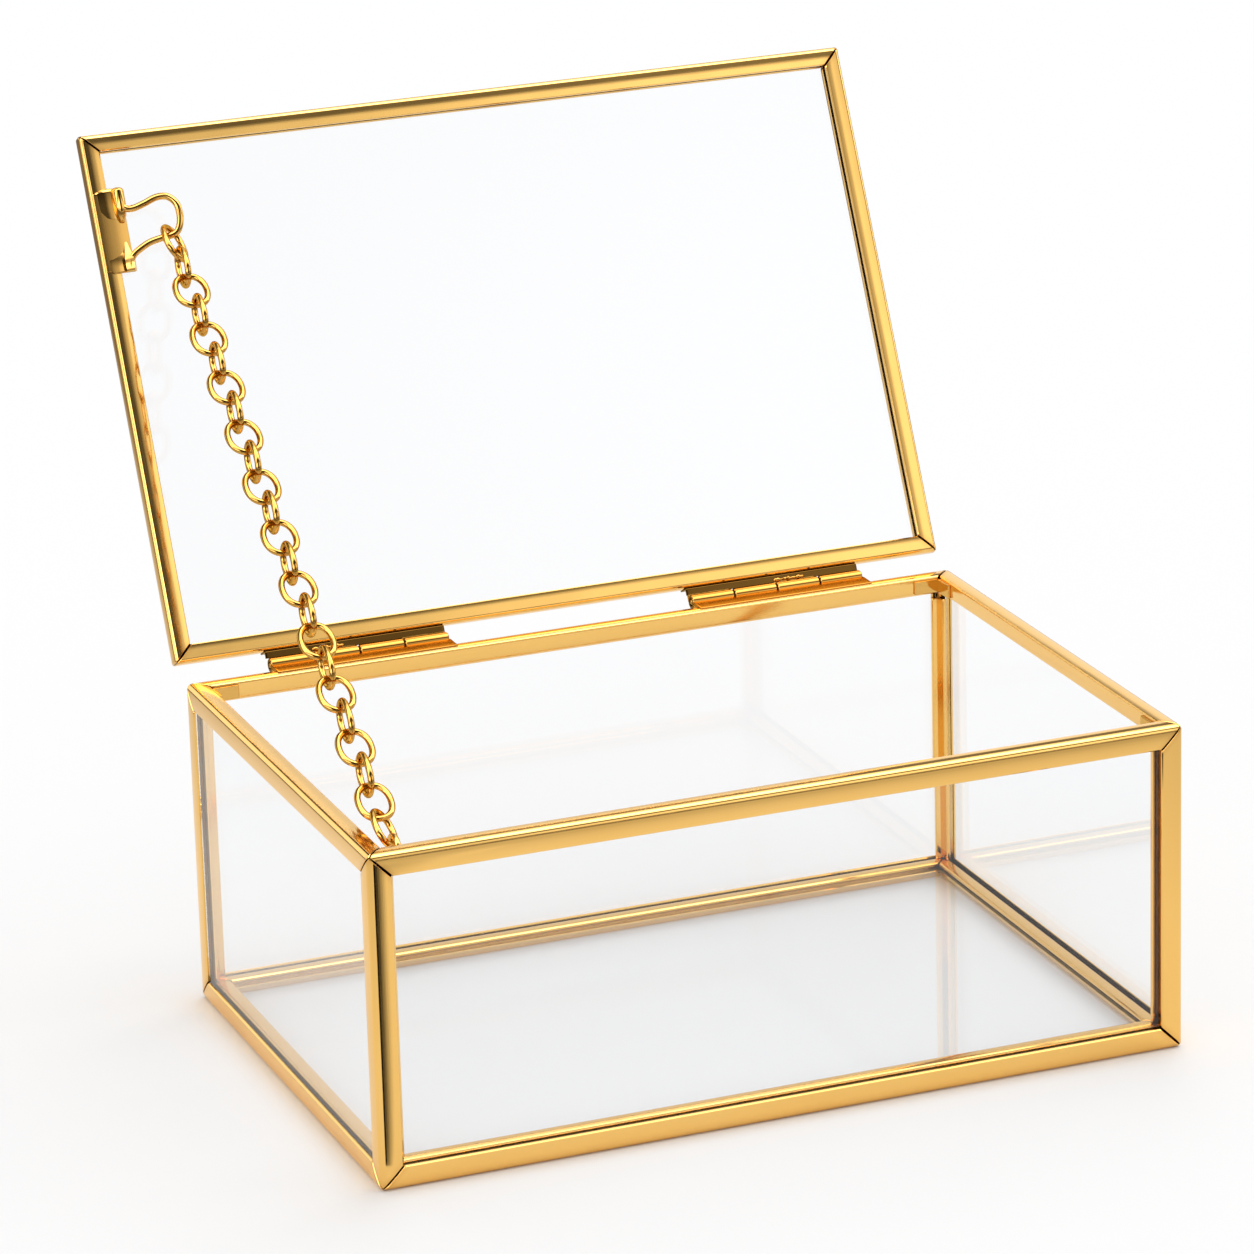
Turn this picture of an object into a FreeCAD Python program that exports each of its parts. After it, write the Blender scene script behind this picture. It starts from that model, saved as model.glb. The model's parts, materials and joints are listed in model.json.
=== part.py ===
"""Brass-framed glass keepsake box: mitred strips, glass panes, a hinged lid and its stay chain.

Frame: origin at the middle of the base, +X right, -Y front, +Z up, millimetres.
The lid is modelled open, as far as the taut stay chain lets it go.
"""
import FreeCAD, Part
import Sketcher
import math
import os

V = FreeCAD.Vector
X_AXIS = V(1, 0, 0)
Z_AXIS = V(0, 0, 1)

doc = FreeCAD.newDocument("glass_keepsake_box")
sheet = doc.addObject("Spreadsheet::Sheet", "Sizes")

DRIVING_SIZES = [
    ("case_width", 160.0, "case, outside, left to right"),
    ("case_depth", 104.0, "case, outside, front to back"),
    ("case_height", 64.0, "case, base to rim"),
    ("strip_thick", 0.8, "brass strip"),
    ("strip_leg", 4.4, "outer leg of posts, rim and base strips"),
    ("strip_round", 1.3, "outer edge radius of the strips"),
    ("seam", 0.12, "half of the open line at a mitre"),
    ("glass_thick", 2.0, "panes"),
    ("glass_clear", 0.1, "room on each side of a pane"),
    ("rim_inner_leg", 3.4, "inner leg of the rim strip"),
    ("rim_inner_round", 0.5, "inner edge radius of the rim strip"),
    ("post_core", 2.6, "square core between a post's two angles"),
    ("post_inner_reach", 5.4, "inner angle, from the outer face"),
    ("base_foot", 5.0, "base strip's leg under the floor channel"),
    ("floor_flange", 2.8, "floor channel, web to lip"),
    ("floor_round", 0.6, "floor channel's upper outer edge"),
    ("lid_flange", 3.5, "lid strip, outer face to lip"),
    ("lid_round", 1.0, "lid strip's outer edges"),
    ("rim_gap", 0.7, "closed lid over the rim"),
    ("lid_open_angle", 116.3, "degrees, lid open against its chain"),
    ("hinge_back", 3.0, "hinge axis behind the case's back face"),
    ("hinge_drop", 0.2, "hinge axis below the rim"),
    ("hinge_spread", 87.0, "between the middles of the two hinges"),
    ("hinge_length", 36.5, "one hinge"),
    ("barrel_radius", 1.4, "hinge knuckles"),
    ("pin_radius", 0.7, "hinge pin"),
    ("pin_clear", 0.05, "running room round the pin"),
    ("knuckle_gap", 0.3, "between neighbouring knuckles"),
    ("leaf_thick", 0.3, "hinge leaf"),
    ("leaf_lap", 2.5, "case leaf's lap on the rim's top"),
    ("leaf_drop", 2.6, "lid leaf's flange on the lid's back"),
    ("leaf_clear", 0.15, "leaf to the other leaf's knuckles"),
    ("clip_leg", 5.5, "corner clip's legs"),
    ("clip_thick", 0.6, "corner clip's sheet"),
    ("clip_height", 2.6, "corner clip"),
    ("clip_drop", 0.5, "corner clip below the rim"),
    ("gusset_leg", 7.5, "chain gusset's legs"),
    ("gusset_thick", 0.8, "chain gusset's sheet"),
    ("gusset_drop", 2.8, "middle of the gusset below the rim"),
    ("eye_radius", 2.4, "middle line of the gusset's wire eye"),
    ("eye_offset", 4.2, "eye from the side strip"),
    ("eye_reach", 1.5, "eye's middle past the gusset's edge"),
    ("link_wire", 1.2, "chain wire"),
    ("link_width", 7.2, "chain link, outside"),
    ("link_play", 0.1, "between two hooked wires"),
    ("link_count", 24.0, "chain links"),
    ("link_twist", 45.0, "degrees, turn of the two end links"),
    ("bail_wire", 1.35, "bail on the lid"),
    ("bail_reach", 10.8, "bail, past the middle of its roll"),
    ("bail_tilt", 20.0, "degrees, bail below the closed lid"),
    ("bail_bow", 3.2, "bail's outer bend"),
    ("bail_bend", 1.2, "bail's small bends"),
    ("bail_knee_bend", 2.4, "bail's two wide bends on the back leg"),
    ("bail_front_lean", 1.2, "front leg's slant over the bail's reach"),
    ("bail_bow_lean", 3.0, "back leg's slant over the bail's reach"),
    ("bail_knee_lean", 1.6, "back leg's slant up to its knee"),
    ("bail_knee_rise", 3.0, "back leg's knee past the roll"),
    ("bail_front", 15.2, "bail's front leg from the lid's front edge"),
    ("bail_span", 9.7, "between the bail's two legs"),
    ("hook_inset", 1.84, "chain's hook inside the bail's tip"),
    ("eye_play", 0.35, "between the gusset's eye and the first link"),
    ("hook_play", 0.2, "between the bail and the last link"),
    ("bracket_front", 11.0, "bracket from the lid's front edge"),
    ("bracket_length", 16.7, "bracket along the lid strip"),
    ("bracket_sheet", 0.4, "bracket's sheet"),
    ("bracket_lap", 3.0, "bracket's lap on the lid strip"),
    ("roll_offset", 1.85, "middle of the bracket's roll past the lid strip's lip"),
    ("roll_radius", 1.25, "bracket's roll, outside"),
    ("roll_clear", 0.05, "room round the bail inside the roll"),
]
for row, (alias, value, meaning) in enumerate(DRIVING_SIZES, start=1):
    sheet.set(f"A{row}", meaning)
    sheet.set(f"B{row}", str(value))
    sheet.setAlias(f"B{row}", alias)
doc.recompute()


class Size:
    """A length in mm together with the sheet expression that gives it."""

    def __init__(self, value, text):
        self.value = value
        self.text = text

    def __add__(self, other):
        other = as_size(other)
        return Size(self.value + other.value, f"({self.text} + {other.text})")

    def __sub__(self, other):
        other = as_size(other)
        return Size(self.value - other.value, f"({self.text} - {other.text})")

    def __mul__(self, factor):
        return Size(self.value * factor, f"({self.text} * {factor})")


def as_size(number):
    """A plain number as a Size, so that both kinds can be added."""
    if isinstance(number, Size):
        return number
    return Size(float(number), str(float(number)))


def size(alias):
    """The driving size with this alias."""
    return Size(float(sheet.get(alias)), f"Sizes.{alias}")


ZERO = as_size(0)
width, depth, height = size("case_width"), size("case_depth"), size("case_height")
thick, leg, seam = size("strip_thick"), size("strip_leg"), size("seam")
glass, clear = size("glass_thick"), size("glass_clear")
pane_outer = thick + clear
channel = thick + clear + glass + clear + thick
web_place = channel - thick
core_reach = thick + size("post_core")
pane_end = core_reach + clear
floor_height = channel
lid_bottom = height + size("rim_gap")
hinge_y = depth * 0.5 + size("hinge_back")
hinge_z = height - size("hinge_drop")

FRONT_TURN, RIGHT_TURN, BACK_TURN, LEFT_TURN = 0, 90, 180, 270


def plane(body, role):
    """One of the body's own origin planes, found by its role."""
    return next(o for o in body.Origin.OriginFeatures if o.Role == role)


def bind(sketch, constraint, length):
    """Add a constraint to the sketch and bind its value to the sheet."""
    index = sketch.addConstraint(constraint)
    sketch.setExpression(f"Constraints[{index}]", length.text)


def pin_point(sketch, geometry, end, point):
    """Hold one end of a sketch line at a place given by two sizes."""
    bind(sketch, Sketcher.Constraint("DistanceX", -1, 1, geometry, end, point[0].value), point[0])
    bind(sketch, Sketcher.Constraint("DistanceY", -1, 1, geometry, end, point[1].value), point[1])


def step_towards(start, goal, radius):
    """The point one radius from start on the axis-parallel line to goal."""
    moved = []
    for a, b in zip(start, goal):
        gap = b.value - a.value
        if abs(gap) < 1e-9:
            moved.append(a)
        else:
            moved.append(a + radius * math.copysign(1.0, gap))
    return moved


def outline(body, name, role, corners, offset=ZERO):
    """A closed sketch through corners (x, y) or (x, y, radius), each bound to the sheet."""
    sketch = body.newObject("Sketcher::SketchObject", name)
    sketch.AttachmentSupport = (plane(body, role), [""])
    sketch.MapMode = "FlatFace"
    sketch.AttachmentOffset = FreeCAD.Placement(V(0, 0, offset.value), FreeCAD.Rotation())
    sketch.setExpression("AttachmentOffset.Base.z", offset.text)
    stops = []
    for i, corner in enumerate(corners):
        here = corner[:2]
        if len(corner) == 2:
            stops.append((here, here, None))
        else:
            before = step_towards(here, corners[i - 1][:2], corner[2])
            after = step_towards(here, corners[(i + 1) % len(corners)][:2], corner[2])
            stops.append((before, after, corner[2]))
    lines = []
    for i, stop in enumerate(stops):
        start, end = stop[1], stops[(i + 1) % len(stops)][0]
        ends = [V(p[0].value, p[1].value, 0) for p in (start, end)]
        lines.append(sketch.addGeometry(Part.LineSegment(*ends)))
        pin_point(sketch, lines[-1], 1, start)
    for i, (before, after, radius) in enumerate(stops):
        into, out = lines[i - 1], lines[i]
        if radius is None:
            sketch.addConstraint(Sketcher.Constraint("Coincident", into, 2, out, 1))
            continue
        pin_point(sketch, into, 2, before)
        corner = V(corners[i][0].value, corners[i][1].value, 0)
        first = V(before[0].value, before[1].value, 0)
        last = V(after[0].value, after[1].value, 0)
        centre = first + last - corner
        middle = centre + (corner - centre).normalize() * radius.value
        arc = sketch.addGeometry(Part.Arc(first, middle, last))
        arc_start = sketch.getPoint(arc, 1)
        near, far = (1, 2) if arc_start.distanceToPoint(first) < 1e-6 else (2, 1)
        sketch.addConstraint(Sketcher.Constraint("Coincident", into, 2, arc, near))
        sketch.addConstraint(Sketcher.Constraint("Coincident", out, 1, arc, far))
        bind(sketch, Sketcher.Constraint("Radius", arc, radius.value), radius)
    return sketch


def pad(body, sketch, length, name):
    """Extrude the sketch by a bound length."""
    feature = body.newObject("PartDesign::Pad", name)
    feature.Profile = sketch
    feature.Length = length.value
    feature.setExpression("Length", length.text)
    doc.recompute()
    return feature


def cut_through(body, sketch, name):
    """Cut the sketch right through the body, both ways."""
    before = body.Shape.Volume
    feature = body.newObject("PartDesign::Pocket", name)
    feature.Profile = sketch
    feature.Type = 1
    feature.Midplane = True
    doc.recompute()
    if body.Shape.Volume > before - 1e-6:
        raise RuntimeError(f"{body.Label}: {name} cuts nothing")
    return feature


nodes = []


def new_body(label):
    """A body that will be written as the node with this label."""
    body = doc.addObject("PartDesign::Body", label)
    body.Label = label
    nodes.append(body)
    return body


def gather(label, pieces):
    """One node for identical small pieces, which stay separate solids."""
    for piece in pieces:
        if piece in nodes:
            nodes.remove(piece)
    group = doc.addObject("Part::Compound", label)
    group.Label = label
    group.Links = pieces
    nodes.append(group)


def put(obj, x, y, z, turn=0.0):
    """Place an object, turned about the vertical by turn degrees."""
    obj.Placement = FreeCAD.Placement(V(x, y, z), FreeCAD.Rotation(Z_AXIS, turn))


# Case and lid sides share one layout: local X along the strip, local Y inwards.
SIDES = {
    "front": (FRONT_TURN, width, -1, -1),
    "right": (RIGHT_TURN, depth, 1, -1),
    "back": (BACK_TURN, width, 1, 1),
    "left": (LEFT_TURN, depth, -1, 1),
}
CORNERS = {
    "front_left": (FRONT_TURN, -1, -1),
    "front_right": (RIGHT_TURN, 1, -1),
    "back_right": (BACK_TURN, 1, 1),
    "back_left": (LEFT_TURN, -1, 1),
}


def corner_place(inset, across, along):
    """The case corner on the given sides, moved inwards by inset."""
    x = across * (width.value / 2 - inset.value)
    y = along * (depth.value / 2 - inset.value)
    return x, y


def mitre_wedge(reach):
    """The corner that a 45 degree mitre takes off, with the seam's open line."""
    return [(seam, ZERO), (seam + reach, reach), (ZERO, reach), (ZERO, ZERO)]


def mitred_strip(label, length, section, reach, face_mitre=None):
    """A strip along local X with this (Y, Z) section and 45 degree ends.

    The plan mitre leaves x >= y; face_mitre ("top" or "bottom") also leaves
    x >= the distance from that edge, where a corner post takes over.
    """
    body = new_body(label)
    pad(body, outline(body, label + "_section", "YZ_Plane", section), length, label + "_bar")
    ends = mitre_wedge(reach)
    far = [(length - x, y) for x, y in ends]
    for name, corners in (("near", ends), ("far", far)):
        wedge = outline(body, f"{label}_plan_{name}", "XY_Plane", corners)
        cut_through(body, wedge, f"{label}_{name}_plan")
    if face_mitre:
        rise = mitre_wedge(leg)
        if face_mitre == "top":
            rise = [(x, leg - y) for x, y in rise]
        far_rise = [(length - x, y) for x, y in rise]
        for name, corners in (("near", rise), ("far", far_rise)):
            wedge = outline(body, f"{label}_face_{name}", "XZ_Plane", corners)
            cut_through(body, wedge, f"{label}_{name}_face")
    return body


# Rim: an inverted channel over the top edges of the four wall panes.
rim_lip = leg - size("rim_inner_leg")
rim_section = [
    (ZERO, ZERO), (thick, ZERO), (thick, leg - thick), (web_place, leg - thick), (web_place, rim_lip),
    (channel, rim_lip), (channel, leg, size("rim_inner_round")), (ZERO, leg, size("strip_round")),
]
for side, (turn, length, across, along) in SIDES.items():
    rail = mitred_strip(f"top_rail_{side}", length, rim_section, channel, "top")
    put(rail, *corner_place(ZERO, across, along), height.value - leg.value, turn)

# Base: an angle whose foot carries the floor channel and the wall panes.
base_section = [
    (ZERO, ZERO, size("strip_round")), (size("base_foot"), ZERO), (size("base_foot"), thick),
    (thick, thick), (thick, leg), (ZERO, leg),
]
for side, (turn, length, across, along) in SIDES.items():
    rail = mitred_strip(f"base_rail_{side}", length, base_section, size("base_foot"), "bottom")
    put(rail, *corner_place(ZERO, across, along), 0, turn)

# Floor channel: holds the floor pane, inside the feet of the wall panes.
flange = size("floor_flange")
floor_section = [
    (ZERO, ZERO), (flange, ZERO), (flange, thick), (thick, thick), (thick, floor_height - thick),
    (flange, floor_height - thick), (flange, floor_height), (ZERO, floor_height, size("floor_round")),
]
for side, (turn, length, across, along) in SIDES.items():
    rail = mitred_strip(f"floor_channel_{side}", length - web_place * 2, floor_section, flange)
    put(rail, *corner_place(web_place, across, along), thick.value, turn)

# Posts: outer angle, core and inner angle in one drawn section; the core stops clear of rim and floor.
inner_start = thick + floor_height + clear
inner_length = height - leg - seam - inner_start
inner_reach = size("post_inner_reach")
for corner, (turn, across, along) in CORNERS.items():
    label = f"corner_post_{corner}"
    post = new_body(label)
    angle = [
        (ZERO, ZERO, size("strip_round")), (leg, ZERO), (leg, thick),
        (thick, thick), (thick, leg), (ZERO, leg),
    ]
    pad(post, outline(post, label + "_angle", "XY_Plane", angle), height, label + "_outer")
    foot = [(ZERO, ZERO), (leg, ZERO), (leg, leg + seam), (ZERO, seam)]
    head = [(x, height - y) for x, y in foot]
    for role in ("XZ_Plane", "YZ_Plane"):
        for end, wedge in (("foot", foot), ("head", head)):
            cutter = outline(post, f"{label}_{role}_{end}", role, wedge)
            cut_through(post, cutter, f"{label}_{end}_{role}")
    inner = [
        (thick, thick), (core_reach, thick), (core_reach, web_place), (inner_reach, web_place),
        (inner_reach, channel), (channel, channel), (channel, inner_reach), (web_place, inner_reach),
        (web_place, core_reach), (thick, core_reach),
    ]
    core = outline(post, label + "_core", "XY_Plane", inner, inner_start)
    pad(post, core, inner_length, label + "_inner")
    put(post, *corner_place(ZERO, across, along), 0, turn)


def pane(label, corner, sizes):
    """A glass pane from its lowest corner and its three bound sizes."""
    box = doc.addObject("Part::Box", label)
    box.Label = label
    for name, length in zip(("Length", "Width", "Height"), sizes):
        setattr(box, name, length.value)
        box.setExpression(name, length.text)
    box.Placement = FreeCAD.Placement(V(*corner), FreeCAD.Rotation())
    nodes.append(box)
    return box


# Wall and floor panes, each edge inside a strip.
pane_height = height - pane_outer * 2
wall_length = width - pane_end * 2
side_length = depth - pane_end * 2
for side, along in (("front", -1), ("back", 1)):
    y = along * (depth.value / 2 - pane_outer.value - glass.value / 2) - glass.value / 2
    low = (-wall_length.value / 2, y, pane_outer.value)
    pane(f"glass_{side}", low, (wall_length, glass, pane_height))
for side, across in (("left", -1), ("right", 1)):
    x = across * (width.value / 2 - pane_outer.value - glass.value / 2) - glass.value / 2
    low = (x, -side_length.value / 2, pane_outer.value)
    pane(f"glass_{side}", low, (glass, side_length, pane_height))
floor_inset = channel + clear
floor_width = width - floor_inset * 2
floor_depth = depth - floor_inset * 2
floor_low = thick.value + pane_outer.value
floor_corner = (-floor_width.value / 2, -floor_depth.value / 2, floor_low)
pane("glass_floor", floor_corner, (floor_width, floor_depth, glass))

# Corner clips: bent tabs that tie the rim strips together inside three corners.
clip_leg, clip_thick = size("clip_leg"), size("clip_thick")
clip_section = [
    (ZERO, ZERO), (clip_leg, ZERO), (clip_leg, clip_thick),
    (clip_thick, clip_thick), (clip_thick, clip_leg), (ZERO, clip_leg),
]
clips = []
for corner in ("front_right", "back_right", "back_left"):
    turn, across, along = CORNERS[corner]
    label = f"corner_clip_{corner}"
    clip = new_body(label)
    bend = outline(clip, label + "_section", "XY_Plane", clip_section)
    pad(clip, bend, size("clip_height"), label + "_bend")
    clip_z = height.value - size("clip_drop").value - size("clip_height").value
    put(clip, *corner_place(channel, across, along), clip_z, turn)
    clips.append(clip)
gather("corner_clips", clips)


def ring_section(body, name, role, centre, radius):
    """A full circle sketch with a bound centre and radius."""
    sketch = body.newObject("Sketcher::SketchObject", name)
    sketch.AttachmentSupport = (plane(body, role), [""])
    sketch.MapMode = "FlatFace"
    middle = V(centre[0].value, centre[1].value, 0)
    circle = sketch.addGeometry(Part.Circle(middle, Z_AXIS, radius.value))
    pin_point(sketch, circle, 3, centre)
    bind(sketch, Sketcher.Constraint("Radius", circle, radius.value), radius)
    return sketch


# Gusset in the front left corner, with the wire eye that holds the chain's last link.
gusset_leg, gusset_thick = size("gusset_leg"), size("gusset_thick")
eye_x = size("eye_offset")
eye_y = gusset_leg - eye_x + size("eye_reach")
eye_radius, link_wire = size("eye_radius"), size("link_wire")
gusset = new_body("chain_gusset")
gusset_outline = [(ZERO, ZERO), (gusset_leg, ZERO), (ZERO, gusset_leg)]
plate = outline(gusset, "gusset_plate", "XY_Plane", gusset_outline, gusset_thick * -0.5)
pad(gusset, plate, gusset_thick, "gusset_sheet")
eye_base = corner_place(channel, -1, -1)
eye_z = height - size("gusset_drop")
eye_middle = V(eye_base[0] + eye_x.value, eye_base[1] + eye_y.value, eye_z.value)
put(gusset, *eye_base, eye_z.value)
eye = doc.addObject("Part::Torus", "gusset_eye")
eye.Radius1 = eye_radius.value
eye.Radius2 = link_wire.value / 2
eye.setExpression("Radius1", eye_radius.text)
eye.setExpression("Radius2", (link_wire * 0.5).text)
eye.Placement = FreeCAD.Placement(eye_middle, FreeCAD.Rotation(V(0, 1, 0), 90))
nodes.remove(gusset)
braze = doc.addObject("Part::Fuse", "chain_anchor")
braze.Base = gusset
braze.Tool = eye
braze.Label = "chain_anchor"
nodes.append(braze)

# Lid: a channel frame round its pane. Its pieces are placed closed, then turned open about the hinge.
hinge_axis = V(0, hinge_y.value, hinge_z.value)
lid_turn = FreeCAD.Rotation(X_AXIS, -size("lid_open_angle").value)
opened = FreeCAD.Placement(V(0, 0, 0), lid_turn, hinge_axis)


def open_up(obj):
    """Turn a piece of the closed lid to the open pose."""
    obj.Placement = opened.multiply(obj.Placement)


lid_lip, lid_round = size("lid_flange"), size("lid_round")
lid_section = [
    (ZERO, ZERO, lid_round), (lid_lip, ZERO), (lid_lip, thick), (thick, thick),
    (thick, channel - thick), (lid_lip, channel - thick), (lid_lip, channel), (ZERO, channel, lid_round),
]
for side, (turn, length, across, along) in SIDES.items():
    rail = mitred_strip(f"lid_rail_{side}", length, lid_section, lid_lip)
    put(rail, *corner_place(ZERO, across, along), lid_bottom.value, turn)
    open_up(rail)
lid_width = width - pane_outer * 2
lid_depth = depth - pane_outer * 2
lid_low = (-lid_width.value / 2, -lid_depth.value / 2, lid_bottom.value + pane_outer.value)
open_up(pane("lid_glass", lid_low, (lid_width, lid_depth, glass)))

# Hinges: two leaves with alternating knuckles round a pin. Local X along the pin, Y towards the case.
barrel, pin_radius = size("barrel_radius"), size("pin_radius")
bore = pin_radius + size("pin_clear")
leaf, hinge_back = size("leaf_thick"), size("hinge_back")
hinge_length, knuckle_gap = size("hinge_length"), size("knuckle_gap")
KNUCKLES = 4
knuckle_pitch = hinge_length * (1 / KNUCKLES)


def hinge_leaf(label, first, plate, level):
    """A leaf of thin sheet from its plate's section, with every other knuckle from the first.

    Drawn with the pin along local X at the origin and the strip towards local Y. Tongues from z = level
    up, one sheet thick, join the knuckles to the plate.
    """
    body = new_body(label)
    pad(body, outline(body, label + "_section", "YZ_Plane", plate), hinge_length, label + "_plate")
    for number in range(first, KNUCKLES, 2):
        start = knuckle_pitch * number + knuckle_gap * 0.5
        span = knuckle_pitch - knuckle_gap
        face = level + leaf
        tongue = [(ZERO, level), (flange_line, level), (flange_line, face), (ZERO, face)]
        sketch = outline(body, f"{label}_tongue_{number}", "YZ_Plane", tongue, start)
        pad(body, sketch, span, f"{label}_web_{number}")
        roll = ring_section(body, f"{label}_roll_{number}", "YZ_Plane", (ZERO, ZERO), barrel)
        roll.AttachmentOffset = FreeCAD.Placement(V(0, 0, start.value), FreeCAD.Rotation())
        roll.setExpression("AttachmentOffset.Base.z", start.text)
        pad(body, roll, span, f"{label}_knuckle_{number}")
    hole = ring_section(body, label + "_bore", "YZ_Plane", (ZERO, ZERO), bore)
    cut_through(body, hole, label + "_bored")
    return body


towards_case = FreeCAD.Rotation(Z_AXIS, 180)
stub, flange_line = barrel + size("leaf_clear"), hinge_back - leaf
rim_level, lap_end = size("hinge_drop"), hinge_back + size("leaf_lap")
rim_face = rim_level + leaf
lap_section = [(stub, rim_level), (lap_end, rim_level), (lap_end, rim_face), (stub, rim_face)]
web_level = barrel * -1.0
web_face, flange_end = web_level + leaf, web_level - size("leaf_drop")
flange_section = [
    (stub, web_level), (flange_line, web_level), (flange_line, flange_end), (hinge_back, flange_end),
    (hinge_back, web_face), (stub, web_face),
]
pins = []
for side, across, first in (("left", -1, 1), ("right", 1, 0)):
    middle = across * size("hinge_spread").value / 2
    case_leaf = hinge_leaf(f"hinge_{side}_case_leaf", first, lap_section, rim_level)
    right_end = V(middle + hinge_length.value / 2, hinge_y.value, hinge_z.value)
    case_leaf.Placement = FreeCAD.Placement(right_end, towards_case)
    lid_leaf = hinge_leaf(f"hinge_{side}_lid_leaf", first, flange_section, web_level)
    left_end = V(middle - hinge_length.value / 2, hinge_y.value, hinge_z.value)
    lid_leaf.Placement = FreeCAD.Placement(left_end, FreeCAD.Rotation(X_AXIS, 180))
    open_up(lid_leaf)
    pin = doc.addObject("Part::Cylinder", f"hinge_{side}_pin")
    pin.Label = f"hinge_{side}_pin"
    pin.Radius = pin_radius.value
    pin.setExpression("Radius", pin_radius.text)
    pin.Height = hinge_length.value
    pin.setExpression("Height", hinge_length.text)
    pin.Placement = FreeCAD.Placement(left_end, FreeCAD.Rotation(V(0, 1, 0), 90))
    pins.append(pin)
gather("hinge_pins", pins)

# Bracket on the lid's left strip: a lapped sheet whose rolled ends hold the bail.
# Local X along the strip from the lid's front edge, Y towards the strip, Z up, the roll's axis at zero.
roll_radius, roll_offset = size("roll_radius"), size("roll_offset")
bracket_sheet = size("bracket_sheet")
bail_wire, bail_bend = size("bail_wire"), size("bail_bend")
bail_front, bail_back = size("bail_front"), size("bail_front") + size("bail_span")
bracket_front = size("bracket_front")
bracket_back = bracket_front + size("bracket_length")
roll_x = -width.value / 2 + lid_lip.value + roll_offset.value
roll_z = lid_bottom.value - roll_radius.value
bracket = new_body("bail_bracket")
lap_line = roll_offset + size("bracket_lap")
lap = [
    (ZERO, roll_radius - bracket_sheet), (lap_line, roll_radius - bracket_sheet),
    (lap_line, roll_radius), (ZERO, roll_radius),
]
lap_sketch = outline(bracket, "bracket_lap_section", "YZ_Plane", lap, bracket_front)
pad(bracket, lap_sketch, size("bracket_length"), "lap")
ROLLS = (
    ("front", bracket_front, bail_front - bail_bend),
    ("back", bail_back + bail_bend, bracket_back),
)
for end, start, stop in ROLLS:
    curl = ring_section(bracket, f"roll_{end}", "YZ_Plane", (ZERO, ZERO), roll_radius)
    curl.AttachmentOffset = FreeCAD.Placement(V(0, 0, start.value), FreeCAD.Rotation())
    curl.setExpression("AttachmentOffset.Base.z", start.text)
    pad(bracket, curl, stop - start, f"curl_{end}")
roll_bore = bail_wire * 0.5 + size("roll_clear")
bore_sketch = ring_section(bracket, "roll_bore", "YZ_Plane", (ZERO, ZERO), roll_bore)
cut_through(bracket, bore_sketch, "rolls_bored")
put(bracket, roll_x, -depth.value / 2, roll_z, RIGHT_TURN)
open_up(bracket)


def bent_wire(points, radii):
    """A wire through the points, each inner point rounded by a tangent arc of its radius."""
    edges = []
    start = points[0]
    for before, here, after, radius in zip(points, points[1:], points[2:], radii):
        back, ahead = (before - here).normalize(), (after - here).normalize()
        half = back.getAngle(ahead) / 2
        trim = radius / math.tan(half)
        first, last = here + back * trim, here + ahead * trim
        centre = here + (back + ahead).normalize() * (radius / math.sin(half))
        middle = centre + (here - centre).normalize() * radius
        edges.append(Part.LineSegment(start, first).toShape())
        edges.append(Part.Arc(first, middle, last).toShape())
        start = last
    edges.append(Part.LineSegment(start, points[-1]).toShape())
    return Part.Wire(edges)


# Bail: one bent wire whose ends turn in the bracket's rolls. Drawn flat, U along the strip, V outwards.
bail_reach = size("bail_reach").value
bow, bend = size("bail_bow").value, bail_bend.value
inset = bracket_sheet.value
knee_bend, knee_rise = size("bail_knee_bend").value, size("bail_knee_rise").value
bow_front = bail_front.value - size("bail_front_lean").value
bow_back = bail_back.value - size("bail_bow_lean").value
knee = bail_back.value - size("bail_knee_lean").value
bail_points = [
    V(bracket_front.value + inset, 0, 0),
    V(bail_front.value, 0, 0),
    V(bow_front, bail_reach, 0),
    V(bow_back, bail_reach, 0),
    V(knee, knee_rise, 0),
    V(bail_back.value, 0, 0),
    V(bracket_back.value - inset, 0, 0),
]
bail_path = bent_wire(bail_points, [bend, bow, knee_bend, knee_bend, bend])
bail_section = Part.Wire(Part.makeCircle(bail_wire.value / 2, bail_points[0], X_AXIS))
bail = doc.addObject("Part::Feature", "chain_bail")
bail.Label = "chain_bail"
bail.Shape = bail_path.makePipeShell([bail_section], True, False)
tilt = math.radians(size("bail_tilt").value)
bail_turn = FreeCAD.Rotation(
    V(0, 1, 0), V(math.cos(tilt), 0, -math.sin(tilt)), V(-math.sin(tilt), 0, -math.cos(tilt)), "XYZ"
)
bail.Placement = FreeCAD.Placement(V(roll_x, -depth.value / 2, roll_z), bail_turn)
open_up(bail)
nodes.append(bail)

# Chain: taut oval links, every other one turned a quarter, the end links turned half as far.
hook_rise = bail_reach - size("hook_inset").value
hook_slope = (knee - bow_back) / (bail_reach - knee_rise)
hook_flat = V(bow_back + (bail_reach - hook_rise) * hook_slope, hook_rise, 0)
hook = bail.Placement.multVec(hook_flat)
play, eye_play, hook_play = (size(name).value for name in ("link_play", "eye_play", "hook_play"))
wire = link_wire.value
links = int(size("link_count").value)
taut = (hook - eye_middle).normalize()
first_tip = eye_radius.value - wire - eye_play
last_tip = (hook - eye_middle).Length + wire / 2 + bail_wire.value / 2 + hook_play
link_length = (last_tip - first_tip + (links - 1) * (wire + play)) / links
link_pitch = link_length - wire - play
sheet.set("A80", "chain link's middle line, tip to tip, so that the chain is taut")
sheet.set("B80", str(link_length))
sheet.setAlias("B80", "link_length")
doc.recompute()

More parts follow.
